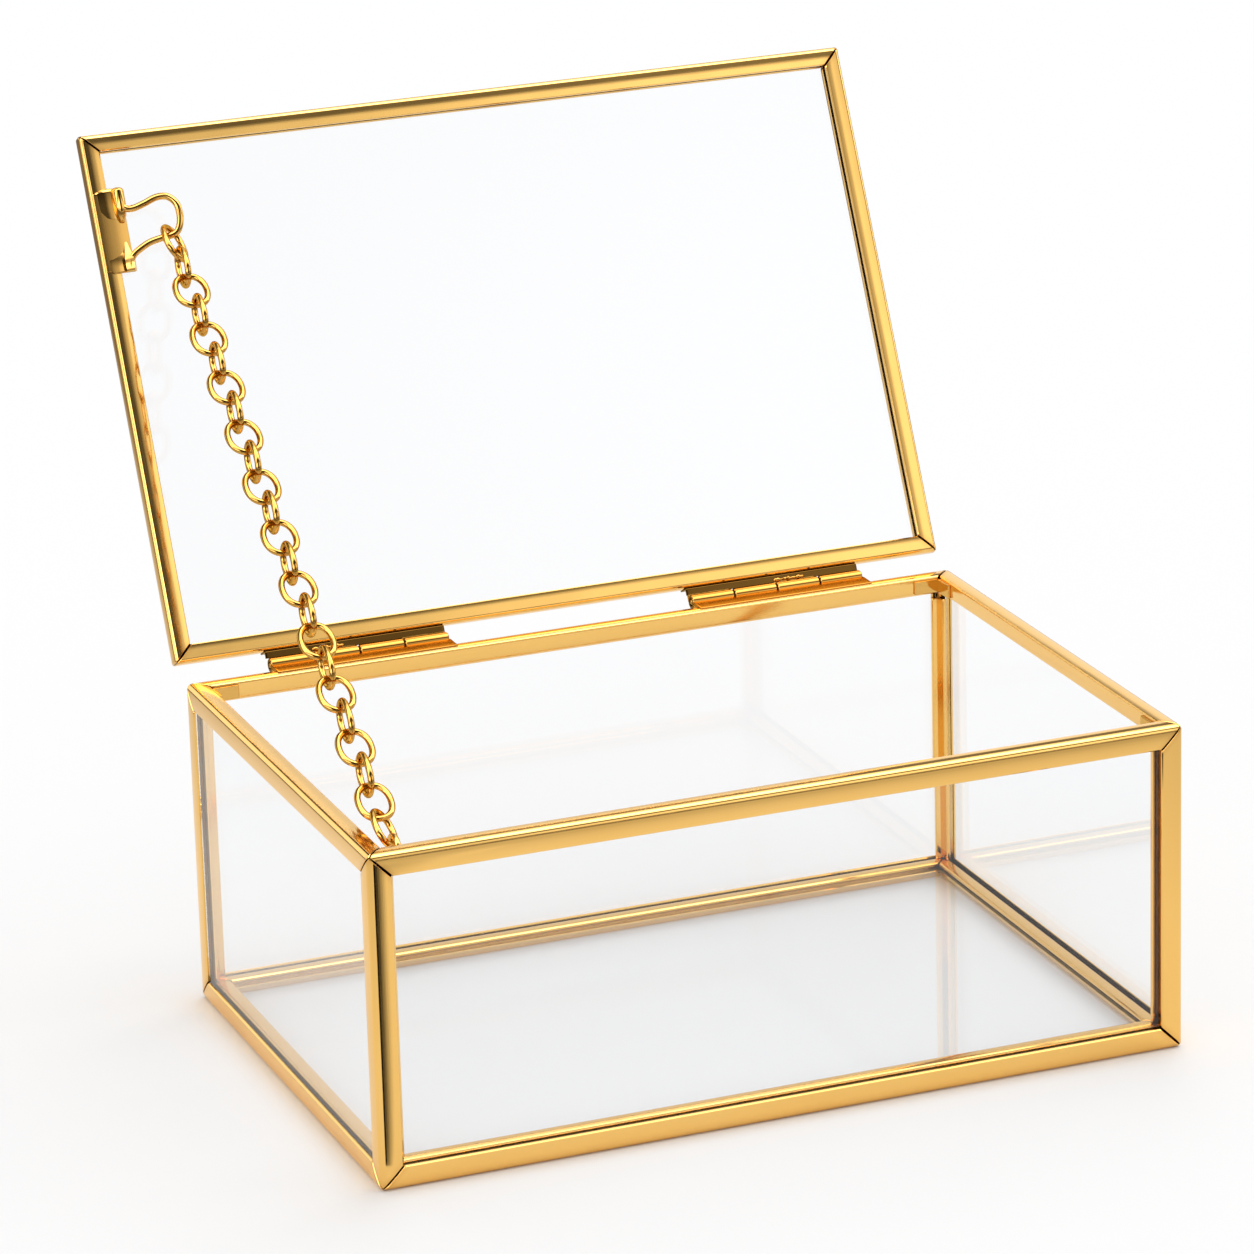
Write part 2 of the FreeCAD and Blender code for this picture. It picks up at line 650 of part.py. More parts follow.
link = doc.addObject("PartDesign::Body", "link_pattern")
end_radius = (size("link_width") - link_wire) * 0.5
far_end = size("link_length") - end_radius
path = link.newObject("Sketcher::SketchObject", "link_path")
path.AttachmentSupport = (plane(link, "XY_Plane"), [""])
path.MapMode = "FlatFace"
near_middle, far_middle = V(end_radius.value, 0, 0), V(far_end.value, 0, 0)
up = V(0, end_radius.value, 0)
tip = V(end_radius.value, 0, 0)
path.addGeometry(Part.LineSegment(near_middle + up, far_middle + up))
path.addGeometry(Part.Arc(far_middle + up, far_middle + tip, far_middle - up))
path.addGeometry(Part.LineSegment(far_middle - up, near_middle - up))
path.addGeometry(Part.Arc(near_middle - up, near_middle - tip, near_middle + up))
pin_point(path, 0, 1, (end_radius, end_radius))
pin_point(path, 0, 2, (far_end, end_radius))
pin_point(path, 2, 1, (far_end, end_radius * -1.0))
pin_point(path, 2, 2, (end_radius, end_radius * -1.0))
for line, line_end, arc, arc_point in ((0, 2, 1, far_middle + up), (2, 1, 1, far_middle - up),
                                       (2, 2, 3, near_middle - up), (0, 1, 3, near_middle + up)):
    arc_end = 1 if path.getPoint(arc, 1).distanceToPoint(arc_point) < 1e-6 else 2
    path.addConstraint(Sketcher.Constraint("Coincident", line, line_end, arc, arc_end))
for arc, middle in ((1, far_end), (3, end_radius)):
    bind(path, Sketcher.Constraint("DistanceX", -1, 1, arc, 3, middle.value), middle)
section = ring_section(link, "link_section", "YZ_Plane", (end_radius, ZERO), link_wire * 0.5)
section.AttachmentOffset = FreeCAD.Placement(V(0, 0, end_radius.value), FreeCAD.Rotation())
section.setExpression("AttachmentOffset.Base.z", end_radius.text)
sweep = link.newObject("PartDesign::AdditivePipe", "link_sweep")
sweep.Profile = section
sweep.Spine = path
doc.recompute()

# Link planes: normal to X on even links, holding X on odd ones, counted from the eye.
side_normal = (X_AXIS - taut * taut.x).normalize()
for number in range(links):
    if number in (0, links - 1):
        turn = -size("link_twist").value
    else:
        turn = 90.0 * (number % 2)
    normal = FreeCAD.Rotation(taut, turn).multVec(side_normal)
    ring = doc.addObject("Part::Feature", f"chain_link_{number + 1:02d}")
    ring.Label = ring.Name
    ring.Shape = link.Shape
    ring.Placement = FreeCAD.Placement(
        eye_middle + taut * (first_tip + number * link_pitch),
        FreeCAD.Rotation(taut, normal.cross(taut), normal, "XYZ"),
    )
    nodes.append(ring)
doc.recompute()

for obj in doc.Objects:
    if "Invalid" in obj.State or "Error" in obj.State:
        raise RuntimeError(f"{obj.Label} failed: {obj.State}")
for obj in nodes:
    if obj.Shape.isNull() or not obj.Shape.isValid():
        raise RuntimeError(f"{obj.Label} has no valid shape")

os.makedirs("parts", exist_ok=True)
for obj in nodes:
    obj.Shape.exportStep(f"parts/{obj.Label}.step")
print(f"{len(nodes)} nodes, link pitch {link_pitch:.3f}")
print("hook", [round(c, 3) for c in hook], "eye", [round(c, 3) for c in eye_middle])
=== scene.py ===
"""A brass-framed glass keepsake box, open, with its lid held by a stay chain."""
import json
import bpy
import numpy as np
from mathutils import Matrix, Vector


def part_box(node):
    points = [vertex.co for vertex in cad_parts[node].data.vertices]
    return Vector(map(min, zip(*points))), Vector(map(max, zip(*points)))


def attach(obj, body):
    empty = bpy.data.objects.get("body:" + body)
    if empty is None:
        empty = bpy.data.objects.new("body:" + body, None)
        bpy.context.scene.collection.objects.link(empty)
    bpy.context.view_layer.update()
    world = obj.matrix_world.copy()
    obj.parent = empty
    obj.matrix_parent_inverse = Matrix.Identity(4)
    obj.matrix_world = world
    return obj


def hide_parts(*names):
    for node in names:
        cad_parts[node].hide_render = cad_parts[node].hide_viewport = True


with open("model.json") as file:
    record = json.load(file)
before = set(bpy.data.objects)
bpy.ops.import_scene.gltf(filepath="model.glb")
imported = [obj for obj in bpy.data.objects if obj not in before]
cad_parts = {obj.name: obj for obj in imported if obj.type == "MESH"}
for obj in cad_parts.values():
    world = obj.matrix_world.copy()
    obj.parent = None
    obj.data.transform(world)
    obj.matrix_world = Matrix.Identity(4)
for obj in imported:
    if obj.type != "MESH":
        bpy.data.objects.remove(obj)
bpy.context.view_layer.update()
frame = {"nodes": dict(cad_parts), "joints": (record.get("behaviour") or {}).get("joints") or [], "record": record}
# The pieces' sizes are in millimetres, the stage's in metres.
mm = 0.001

# Rim: four inverted channels of polished brass strip, folded over the top edges of the wall panes.
# Each is cut to 45 degrees in plan and in face, and brazed to its neighbours and to the posts.
# The width is measured over the mitred ends of the front base strip.
low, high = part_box("base_rail_front")
width = (high[0] - low[0]) / mm
depth = -2 * low[1] / mm
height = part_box("top_rail_front")[1][2] / mm
sheet_thick = 0.8
strip_leg = 4.4
channel_width = 3.8
bead_round = 1.3
rim_inner_leg = 3.4
rim_inner_round = 0.5
mitre_seam = 0.22
face_crown = 0.07


def folded_line(corners, thick, crown=0.0):
    """Outer and inner line of a bent sheet, from corners (a, b[, radius]) along its outer side.

    Flats swell outwards by crown as 4 s (1 - s); a radius turns a right-angled corner into an arc;
    free edges are eased. The inner line is the outer one moved one thickness to the right.
    """
    points = np.array([c[:2] for c in corners], float)
    along = np.diff(points, axis=0)
    along /= np.linalg.norm(along, axis=1)[:, None]
    left = np.stack([-along[:, 1], along[:, 0]], 1)
    ease = 0.25 * thick
    knee_round = 0.04
    outer = [points[0] - left[0] * ease, points[0] + along[0] * ease]
    inner = [points[0] - left[0] * (thick - ease), points[0] + along[0] * ease - left[0] * thick]
    share = np.array([0.1, 0.3, 0.5, 0.7, 0.9])[:, None]
    turn = np.linspace(0, np.pi / 2, 13)[:, None]
    for i in range(1, len(points)):
        before, left_before = along[i - 1], left[i - 1]
        if i == len(points) - 1:
            bend = points[i:] - before * ease
            bend_in = bend - left_before * thick
        else:
            radius, left_after = corners[i][2], left[i]
            knee = points[i] - (left_before + left_after) * thick
            if radius == 0:
                bend, bend_in = points[i:i + 1], knee[None]
            else:
                spokes = np.cos(turn) * left_before + np.sin(turn) * left_after
                centre = points[i] - (before + left_before) * radius
                bend = centre + radius * spokes
                bend_in = centre + (radius - thick) * spokes
                if radius <= thick:
                    bend_in = knee + knee_round * (spokes - left_before - left_after)
        swell = left_before * crown * 4 * share * (1 - share)
        flat = outer[-1] + (bend[0] - outer[-1]) * share + swell
        flat_in = inner[-1] + (bend_in[0] - inner[-1]) * share
        outer += [*flat, *bend]
        inner += [*flat_in, *bend_in]
    outer.append(points[-1] - left[-1] * ease)
    inner.append(points[-1] - left[-1] * (thick - ease))
    return np.array(outer), np.array(inner)


def carried_strip(lines, start_of, end_of, origin, axes, seam=0.0):
    """A folded line carried along a straight path between two cut ends.

    The path position of a section point is start_of(a, b) to end_of(a, b), so that a mitre is a slope
    in a and b. A seam keeps the outer side that far from the cut, which leaves a V with the neighbour.
    Returns points, quads, UV per point (length and girth in mm), nearness to the ends and painted
    shade in the V.
    """
    outer, inner = lines
    count = len(outer)
    loop = np.concatenate([outer, inner[::-1]])
    core = (outer + inner) / 2
    middle = np.concatenate([core, core[::-1]])
    vee = np.repeat([seam, 0.0], count)
    start = start_of(loop[:, 0], loop[:, 1]) + vee
    end = end_of(loop[:, 0], loop[:, 1]) - vee
    insets = np.array([0.0, 0.06, 0.15, 0.5, 1.6]) * min(1.0, 0.05 * (end - start).min())
    shrink = np.array([0.6, 0.86, 1.0, 1.0, 1.0])
    near = np.array([1.0, 0.95, 0.85, 0.5, 0.0])
    between = np.linspace(0.1, 0.9, 9)
    runs = [start + d for d in insets]
    runs += [start + (end - start) * f for f in between]
    runs += [end - d for d in insets[::-1]]
    narrow = np.concatenate([shrink, np.ones(len(between)), shrink[::-1]])
    closeness = np.concatenate([near, np.zeros(len(between)), near[::-1]])
    # The cut ends of a seamed strip are painted black: painted shade in the V between neighbours.
    dark = np.zeros(len(narrow))
    dark[[0, -1]] = seam > 0
    along = np.array(runs)
    section = middle[None] + (loop - middle)[None] * narrow[:, None, None]
    local = np.concatenate([along[..., None], section], 2)
    world = np.asarray(origin) + local.reshape(-1, 3) @ np.asarray(axes, float)
    rows, cols = along.shape
    grid = np.arange(rows * cols).reshape(rows, cols)
    side = np.roll(grid, -1, 1)
    walls = np.stack([grid[:-1], side[:-1], side[1:], grid[1:]], 2).reshape(-1, 4)
    out, back = grid[:, :count], grid[:, ::-1][:, :count]
    first = np.stack([out[0, :-1], back[0, :-1], back[0, 1:], out[0, 1:]], 1)
    last = np.stack([out[-1, :-1], out[-1, 1:], back[-1, 1:], back[-1, :-1]], 1)
    quads = np.concatenate([walls, first, last])
    girth = np.concatenate([[0], np.cumsum(np.linalg.norm(np.diff(loop, axis=0), axis=1))])
    uv = np.stack([along, np.repeat(girth[None], rows, 0)], 2).reshape(-1, 2)
    return world, quads, uv, np.repeat(closeness, cols), np.repeat(dark, cols)


def joined(*parts):
    """Several grids as one, with the quads renumbered."""
    shift = np.cumsum([0] + [len(p[0]) for p in parts[:-1]])
    quads = np.concatenate([p[1] + s for p, s in zip(parts, shift)])
    rest = [np.concatenate([p[i] for p in parts]) for i in (2, 3, 4)]
    return np.concatenate([p[0] for p in parts]), quads, *rest


def make_piece(name, grid, material, body, node, turned=None):
    """A mesh object from a grid in mm, riding on its body and standing for its CAD node."""
    points, quads, uv, near, dark = grid
    uv_per_mm, sharp_fold = 0.01, np.radians(38)
    if turned is not None:
        points = turned(points)
    mesh = bpy.data.meshes.new(name)
    mesh.from_pydata(points * mm, [], quads.tolist())
    layer = mesh.uv_layers.new(name="run_and_girth")
    corner = np.empty(len(mesh.loops), int)
    mesh.loops.foreach_get("vertex_index", corner)
    layer.data.foreach_set("uv", (uv[corner] * uv_per_mm).ravel())
    # Each point's nearness to brazed joints, for a stain, and its painted shade in seams and hollows.
    for label, values in (("joint_nearness", near), ("painted_shade", dark)):
        mark = mesh.attributes.new(label, "FLOAT", "POINT")
        mark.data.foreach_set("value", values.astype(np.float32))
    mesh.polygons.foreach_set("use_smooth", np.ones(len(mesh.polygons), bool))
    mesh.set_sharp_from_angle(angle=sharp_fold)
    mesh.validate()
    mesh.materials.append(material)
    piece = bpy.data.objects.new(name, mesh)
    bpy.context.scene.collection.objects.link(piece)
    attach(piece, body)
    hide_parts(node)


def node_line(tree, kind, inputs=None, **settings):
    """One shader node with its settings, its input values and the links into it."""
    node = tree.nodes.new(kind)
    for key, value in settings.items():
        setattr(node, key, value)
    for key, value in (inputs or {}).items():
        if isinstance(value, bpy.types.NodeSocket):
            tree.links.new(value, node.inputs[key])
        else:
            node.inputs[key].default_value = value
    return node


def new_tree(owner):
    """The owner's emptied node tree."""
    owner.use_nodes = True
    owner.node_tree.nodes.clear()
    return owner.node_tree


def cloud(tree, place, scale, detail):
    """Cloudy noise over coordinates, from 0 to 1."""
    noise = node_line(tree, "ShaderNodeTexNoise", {"Vector": place, "Scale": scale, "Detail": detail})
    return noise.outputs["Fac"]


def colour_mix(tree, factor, first, second):
    """The first colour, turning into the second as the factor rises."""
    mix = node_line(
        tree, "ShaderNodeMix", {"Factor": factor, "A": first, "B": second}, data_type="RGBA",
    )
    return mix.outputs["Result"]


def worked_out(tree, operation, first, second, clamped=False):
    """One step of arithmetic on two values."""
    step = node_line(
        tree, "ShaderNodeMath", {0: first, 1: second}, operation=operation, use_clamp=clamped,
    )
    return step.outputs[0]


def polished_brass(name, pale, deep, gloss, rim_tint):
    """Polished brass: cloudy colour, lengthwise polishing lines, brown near brazed joints, painted shade in seams.
    """
    material = bpy.data.materials.new(name)
    tree = new_tree(material)
    place = node_line(tree, "ShaderNodeTexCoord").outputs
    joint = node_line(tree, "ShaderNodeAttribute", attribute_name="joint_nearness").outputs["Fac"]
    # The seam darkness is painted shade: black in mitre seams, knuckle ends and bores, roll ends and lid leaf
    # plates.
    seam = node_line(tree, "ShaderNodeAttribute", attribute_name="painted_shade").outputs["Fac"]
    brown = (deep[0] * 0.75, deep[1] * 0.62, deep[2] * 0.5, 1)
    seam_shade_black = (0.012, 0.005, 0.001, 1)
    tint = colour_mix(tree, cloud(tree, place["Object"], 38.0, 3.0), pale, deep)
    stain = worked_out(tree, "MULTIPLY", joint, cloud(tree, place["Object"], 700.0, 2.0))
    colour = colour_mix(tree, seam, colour_mix(tree, stain, tint, brown), seam_shade_black)
    stretch = node_line(
        tree, "ShaderNodeMapping", {"Vector": place["UV"], "Scale": (9.0, 700.0, 1.0)},
    )
    lines = cloud(tree, stretch.outputs[0], 1.0, 4.0)
    rubbed = worked_out(tree, "MULTIPLY", lines, cloud(tree, place["Object"], 120.0, 4.0))
    rough = node_line(tree, "ShaderNodeMapRange", {
        "Value": rubbed, "From Min": 0.12, "From Max": 0.42, "To Min": gloss[0], "To Max": gloss[1],
    })
    wave = cloud(tree, place["Object"], 55.0, 1.0)
    swell = node_line(tree, "ShaderNodeBump", {"Height": wave, "Strength": 0.05, "Distance": 0.0012})
    bump = node_line(tree, "ShaderNodeBump", {
        "Height": lines, "Strength": 0.12, "Distance": 0.00003, "Normal": swell.outputs[0],
    })
    surface = node_line(tree, "ShaderNodeBsdfPrincipled", {
        "Base Color": colour, "Metallic": 1.0, "Roughness": rough.outputs[0],
        "Specular Tint": rim_tint, "Normal": bump.outputs[0],
    })
    node_line(tree, "ShaderNodeOutputMaterial", {"Surface": surface.outputs[0]})
    return material


frame_brass = polished_brass(
    "frame_brass", pale=(0.93, 0.575, 0.175, 1), deep=(0.90, 0.53, 0.145, 1), gloss=(0.06, 0.14),
    rim_tint=(1.0, 1.0, 1.0, 1),
)
# Each side's first corner, its run, the way inwards and its length.
SIDES = {
    "front": ((-width / 2, -depth / 2), (1, 0), (0, 1), width),
    "right": ((width / 2, -depth / 2), (0, 1), (-1, 0), depth),
    "back": ((width / 2, depth / 2), (-1, 0), (0, -1), width),
    "left": ((-width / 2, depth / 2), (0, -1), (1, 0), depth),
}


def side_strip(side, lines, lift, inset, depth_of):
    """A strip along one side of the box, its ends sloped so that depth_of(a, b) is the cut at a point."""
    corner, run, inwards, length = SIDES[side]
    run, inwards = np.array([*run, 0.0]), np.array([*inwards, 0.0])
    origin = np.array([*corner, lift]) + (run + inwards) * inset
    span = length - 2 * inset
    axes = [run, inwards, (0, 0, 1)]
    return carried_strip(lines, depth_of, lambda a, b: span - depth_of(a, b), origin, axes, mitre_seam)


rim_lines = folded_line([
    (0, 0), (0, strip_leg, bead_round), (channel_width, strip_leg, rim_inner_round),
    (channel_width, strip_leg - rim_inner_leg),
], sheet_thick, face_crown)
for side in SIDES:
    rim = side_strip(
        side, rim_lines, height - strip_leg, 0, lambda a, b: np.maximum(a, strip_leg - b),
    )
    make_piece(f"rim_{side}", rim, frame_brass, "case", f"top_rail_{side}")

# Base: four angles of the same strip, beads outwards, whose feet carry the panes and stand on the table.
# They are mitred to each other and to the posts like the rim.
base_foot = 5.0
base_lines = folded_line(
    [(base_foot, 0), (0, 0, bead_round), (0, strip_leg)], sheet_thick, face_crown,
)
for side in SIDES:
    base = side_strip(side, base_lines, 0, 0, np.maximum)
    make_piece(f"base_{side}", base, frame_brass, "case", f"base_rail_{side}")

# Floor frame: four small channels of brass, mitred, lying on the feet of the base.
# The floor pane is held between their lips.
floor_flange = 2.8
floor_round = 0.6
floor_lines = folded_line([
    (floor_flange, 0), (0, 0, 0), (0, channel_width, floor_round), (floor_flange, channel_width),
], sheet_thick, face_crown)
for side in SIDES:
    channel = side_strip(
        side, floor_lines, sheet_thick, channel_width - sheet_thick, lambda a, b: a,
    )
    node = f"floor_channel_{side}"
    make_piece(f"floor_frame_{side}", channel, frame_brass, "case", node)

# Corner posts: an outer angle with a bead on its edge and a small inner angle, brazed into one piece.
# The wall panes slide in between them. Both ends of the outer angle are mitred on two faces.
inner_reach = 5.4
inner_low = 4.7
inner_clear = 0.12
inner_high = height - strip_leg - inner_clear
post_lines = folded_line(
    [(strip_leg, 0), (0, 0, bead_round), (0, strip_leg)], sheet_thick, face_crown,
)
inner_lines = folded_line([
    (channel_width, inner_reach), (channel_width, channel_width, 0), (inner_reach, channel_width),
], sheet_thick)
# Each corner's signs of x and y, and the ways along its two walls.
CORNERS = {
    "front_left": (-1, -1, (1, 0), (0, 1)),
    "front_right": (1, -1, (0, 1), (-1, 0)),
    "back_right": (1, 1, (-1, 0), (0, -1)),
    "back_left": (-1, 1, (0, -1), (1, 0)),
}


def corner_axes(corner):
    """Foot of a corner and its axes: up, then the two ways along the walls."""
    across, along, first, second = CORNERS[corner]
    origin = np.array([across * width / 2, along * depth / 2, 0.0])
    return origin, [(0, 0, 1), (*first, 0), (*second, 0)]


def square_cut(place):
    """An end cut square: the same place along the path for every point of the section."""
    return lambda a, b: np.full_like(a, place)


for corner in CORNERS:
    origin, axes = corner_axes(corner)
    angle = carried_strip(
        post_lines, np.maximum, lambda a, b: height - np.maximum(a, b), origin, axes, mitre_seam,
    )
    inner = carried_strip(inner_lines, square_cut(inner_low), square_cut(inner_high), origin, axes)
    post, node = joined(angle, inner), f"corner_post_{corner}"
    make_piece(f"post_{corner}", post, frame_brass, "case", node)


# Panes: clear float glass, cut to size and slid into the strips; the lid's pane rides on the lid.
# Faint cloudy smears are left from handling.
def clear_glass(name):
    """Clear glass with faint smears in its polish; lamps shine through it."""
    material = bpy.data.materials.new(name)
    tree = new_tree(material)
    place = node_line(tree, "ShaderNodeTexCoord").outputs
    rough = node_line(tree, "ShaderNodeMapRange", {
        "Value": cloud(tree, place["Object"], 26.0, 5.0), "From Min": 0.5, "From Max": 0.85,
        "To Min": 0.0, "To Max": 0.02,
    })
    pane = node_line(tree, "ShaderNodeBsdfPrincipled", {
        "Base Color": (0.978, 0.985, 0.99, 1), "Roughness": rough.outputs[0], "IOR": 1.46,
        "Transmission Weight": 1.0,
    })
    open_way = node_line(tree, "ShaderNodeBsdfTransparent", {"Color": (0.994, 0.995, 0.996, 1)})
    ray = node_line(tree, "ShaderNodeLightPath").outputs
    straight = worked_out(tree, "MAXIMUM", ray["Is Shadow Ray"], ray["Is Diffuse Ray"])
    both = node_line(tree, "ShaderNodeMixShader", {
        0: straight, 1: pane.outputs[0], 2: open_way.outputs[0],
    })
    node_line(tree, "ShaderNodeOutputMaterial", {"Surface": both.outputs[0]})
    return material


pane_glass = clear_glass("pane_glass")
for node in ("glass_front", "glass_back", "glass_left", "glass_right", "glass_floor", "lid_glass"):
    mesh = frame["nodes"][node].data
    mesh.materials.clear()
    mesh.materials.append(pane_glass)

# Corner clips: short bent tabs of thin brass that tie the rim strips together inside three corners.
# They are brazed to the rim's inner legs just below the top.
clip_leg = 5.5
clip_thick = 0.6
clip_height = 2.6
clip_drop = 0.5
clip_crown = 0.12
fitting_brass = polished_brass(
    "fitting_brass", pale=(0.80, 0.47, 0.13, 1), deep=(0.68, 0.37, 0.085, 1), gloss=(0.07, 0.16),
    rim_tint=(0.9, 0.8, 0.6, 1),
)
clip_face = channel_width + clip_thick
clip_end = channel_width + clip_leg
clip_top = height - clip_drop
clip_lines = folded_line(
    [(clip_face, clip_end), (clip_face, clip_face, 0), (clip_end, clip_face)], clip_thick, clip_crown,
)
clips = [
    carried_strip(
        clip_lines, square_cut(clip_top - clip_height), square_cut(clip_top), *corner_axes(corner),
    )
    for corner in ("front_right", "back_right", "back_left")
]
make_piece("corner_clips_bent", joined(*clips), fitting_brass, "case", "corner_clips")

# Chain anchor: a small brass gusset in the front left corner with a wire eye through its edge.
# The stay chain's first link hangs in the eye.
gusset_leg = 7.5
gusset_thick = 0.8
gusset_drop = 2.8
gusset_worn = 0.04
chain_wire = 1.2
wire_sides = 20
wire_dome_rings = 5
eye_radius = 2.4
eye_across = 4.2
eye_along = 4.8


def ring_quads(rows, cols, closed):
    """Quads from each ring of points to the next.

    A closed run goes on to its first ring. An open one is capped by quads across its end rings.
    """
    grid = np.arange(rows * cols).reshape(rows, cols)
    if closed:
        grid = np.concatenate([grid, grid[:1]])
    side = np.roll(grid, -1, 1)
    quads = [np.stack([grid[:-1], grid[1:], side[1:], side[:-1]], 2).reshape(-1, 4)]
    if not closed:
        half = cols // 2
        for ring, step in ((grid[0], 1), (grid[-1], -1)):
            near, far = ring[:half], ring[::-1][:half]
            quads.append(np.stack([near[:-1], near[1:], far[1:], far[:-1]], 1)[:, ::step])
    return np.concatenate(quads)


def round_wire(path, flat_normal, radius, closed):
    """A round wire along a flat path: circles in the plane of the path's normal and its side.

    radius may vary along the path. An open wire ends in domes that shrink over its last sections.
    """
    path = np.asarray(path, float)
    if closed:
        way = np.roll(path, -1, 0) - np.roll(path, 1, 0)
    else:
        way = np.gradient(path, axis=0)
    way /= np.linalg.norm(way, axis=1)[:, None]
    radius = np.broadcast_to(radius, len(path)).astype(float)
    if not closed:
        rise = np.linspace(0.05, np.pi / 2, wire_dome_rings)
        dome, reach = np.sin(rise), np.cos(rise)
        head = path[0] - way[0] * (radius[0] * reach)[:, None]
        tail = path[-1] + way[-1] * (radius[-1] * reach[::-1])[:, None]
        path = np.concatenate([head, path[1:-1], tail])
        ends = [np.repeat(way[i][None], wire_dome_rings, 0) for i in (0, -1)]
        way = np.concatenate([ends[0], way[1:-1], ends[1]])
        radius = np.concatenate([radius[0] * dome, radius[1:-1], radius[-1] * dome[::-1]])
    normal = np.asarray(flat_normal, float)
    aside = np.cross(way, normal)
    turn = np.linspace(0, 2 * np.pi, wire_sides, endpoint=False)
    ring = np.cos(turn)[None, :, None] * normal + np.sin(turn)[None, :, None] * aside[:, None]
    world = path[:, None] + ring * radius[:, None, None]
    rows, cols = world.shape[:2]
    run = np.concatenate([[0], np.cumsum(np.linalg.norm(np.diff(path, axis=0), axis=1))])
    uv = np.stack(np.meshgrid(run, turn, indexing="ij"), 2).reshape(-1, 2)
    plain = np.zeros(rows * cols)
    return world.reshape(-1, 3), ring_quads(rows, cols, closed), uv, plain, plain


def flat_plate(outline, low_z, thick, worn):
    """A plate from a convex outline: rings out from the middle, down over a worn edge, and back in."""
    centre = outline.mean(0)
    scale = np.array([0.02, 0.6, 1 - worn, 1.0, 1.0, 1 - worn, 0.6, 0.02])
    level = np.array([1, 1, 1, 1 - worn * 3, worn * 3, 0, 0, 0]) * thick + low_z
    rings = centre + (outline - centre)[None] * scale[:, None, None]
    world = np.concatenate([rings, np.repeat(level[:, None, None], len(outline), 1)], 2)
    rows, cols = world.shape[:2]
    uv = world[..., :2].reshape(-1, 2)
    plain = np.zeros(rows * cols)
    return world.reshape(-1, 3), ring_quads(rows, cols, False), uv, plain, plain


gusset_corner = np.array([-width / 2 + channel_width, -depth / 2 + channel_width])
edge = np.linspace(0, 1, 9)[:-1, None]
gusset_outline = np.concatenate([
    gusset_corner + edge * (gusset_leg, 0),
    gusset_corner + (gusset_leg, 0) + edge * (-gusset_leg, gusset_leg),
    gusset_corner + (0, gusset_leg) + edge * (0, -gusset_leg),
])
gusset_level = height - gusset_drop
gusset = flat_plate(gusset_outline, gusset_level - gusset_thick / 2, gusset_thick, gusset_worn)
eye_middle = np.array([*(gusset_corner + (eye_across, eye_along)), gusset_level])
eye_turn = np.linspace(0, 2 * np.pi, 40, endpoint=False)[:, None]
eye_path = eye_middle + eye_radius * (np.cos(eye_turn) * (0, 1, 0) + np.sin(eye_turn) * (0, 0, 1))
eye_ring = round_wire(eye_path, (1, 0, 0), chain_wire / 2, True)
anchor = joined(gusset, eye_ring)
make_piece("anchor_and_eye", anchor, fitting_brass, "case", "chain_anchor")

# Lid: four mitred channels of brass strip round the lid's pane, turned open about the hinge pins.
# Their outer edges are rounded in the folding.
lid_joint = next(j for j in frame["joints"] if j["name"] == "lid_hinge")
hinge_line = np.array(lid_joint["pos_m"]) / mm
open_angle = np.radians(lid_joint["range_deg"][1])
rim_gap = 0.7
lid_bottom = height + rim_gap
lid_flange = 3.5
lid_round = 1.0


def lid_open(points):
    """Closed lid's points turned back about the hinge line by the open angle."""
    cos, sin = np.cos(-open_angle), np.sin(-open_angle)
    spin = np.array([[1, 0, 0], [0, cos, -sin], [0, sin, cos]])
    return (points - hinge_line) @ spin.T + hinge_line


lid_lines = folded_line([
    (lid_flange, 0), (0, 0, lid_round), (0, channel_width, lid_round), (lid_flange, channel_width),
], sheet_thick, face_crown)
for side in SIDES:
    strip = side_strip(side, lid_lines, lid_bottom, 0, lambda a, b: a)
    node = f"lid_rail_{side}"
    make_piece(f"lid_{side}", strip, frame_brass, "lid", node, lid_open)

# Hinges: two leaves of thin brass each, one lapped on the rim, one bent up the lid's back, brazed there.
# Their rolled knuckles sit in turn round a hard-drawn pin; a bead of solder runs along one lid tongue.
# The hinges' brass is darker than the frame's: painted shade for the dark the barrels reflect in their recess.
hinge_brass = polished_brass(
    "hinge_brass", pale=(0.58, 0.31, 0.07, 1), deep=(0.44, 0.21, 0.035, 1), gloss=(0.06, 0.14),
    rim_tint=(0.85, 0.7, 0.5, 1),
)
hinge_spread = 87.0
hinge_length = 36.5
hinge_back = 3.0
hinge_drop = 0.2
barrel_radius = 1.4
pin_radius = 0.7
pin_clear = 0.05
pin_short = 1.4
knuckles = 4
knuckle_gap = 0.3
knuckle_worn = 0.16
knuckle_pitch = hinge_length / knuckles
leaf_thick = 0.3
leaf_lap = 2.5
leaf_drop = 2.6
leaf_round = 0.3
leaf_clear = 0.15
# The lid leaves' plates are darkened with painted shade, for the recess they stand in behind the barrels.
lid_leaf_shade = 0.78
tongue_lap = 0.3
rim_tongue_start = 0.95
lid_tongue_start = 0.3
solder_start = 0.5
solder_end = 6.3
solder_off = 0.45
stub = barrel_radius + leaf_clear
rim_face = hinge_drop + leaf_thick
lid_face = leaf_thick - barrel_radius


def turned_sleeve(section, centre, axes, sides=40):
    """A closed section of (run, radius, painted shade) points turned round the first of three axes.

    A point is centre + run along the axis + radius (cos, sin) in the other two; few sides leave facets.
    """
    run, radius, dark = np.array(section, float).T
    turn = np.linspace(0, 2 * np.pi, sides, endpoint=False)
    x = np.repeat(run[:, None], sides, 1)
    local = np.stack([x, radius[:, None] * np.cos(turn), radius[:, None] * np.sin(turn)], 2)
    world = np.asarray(centre) + local.reshape(-1, 3) @ np.asarray(axes, float)
    uv = np.stack([x, np.repeat(turn[None], len(run), 0)], 2).reshape(-1, 2)
    shade = np.repeat(dark, sides)
    return world, ring_quads(len(run), sides, True), uv, shade, shade


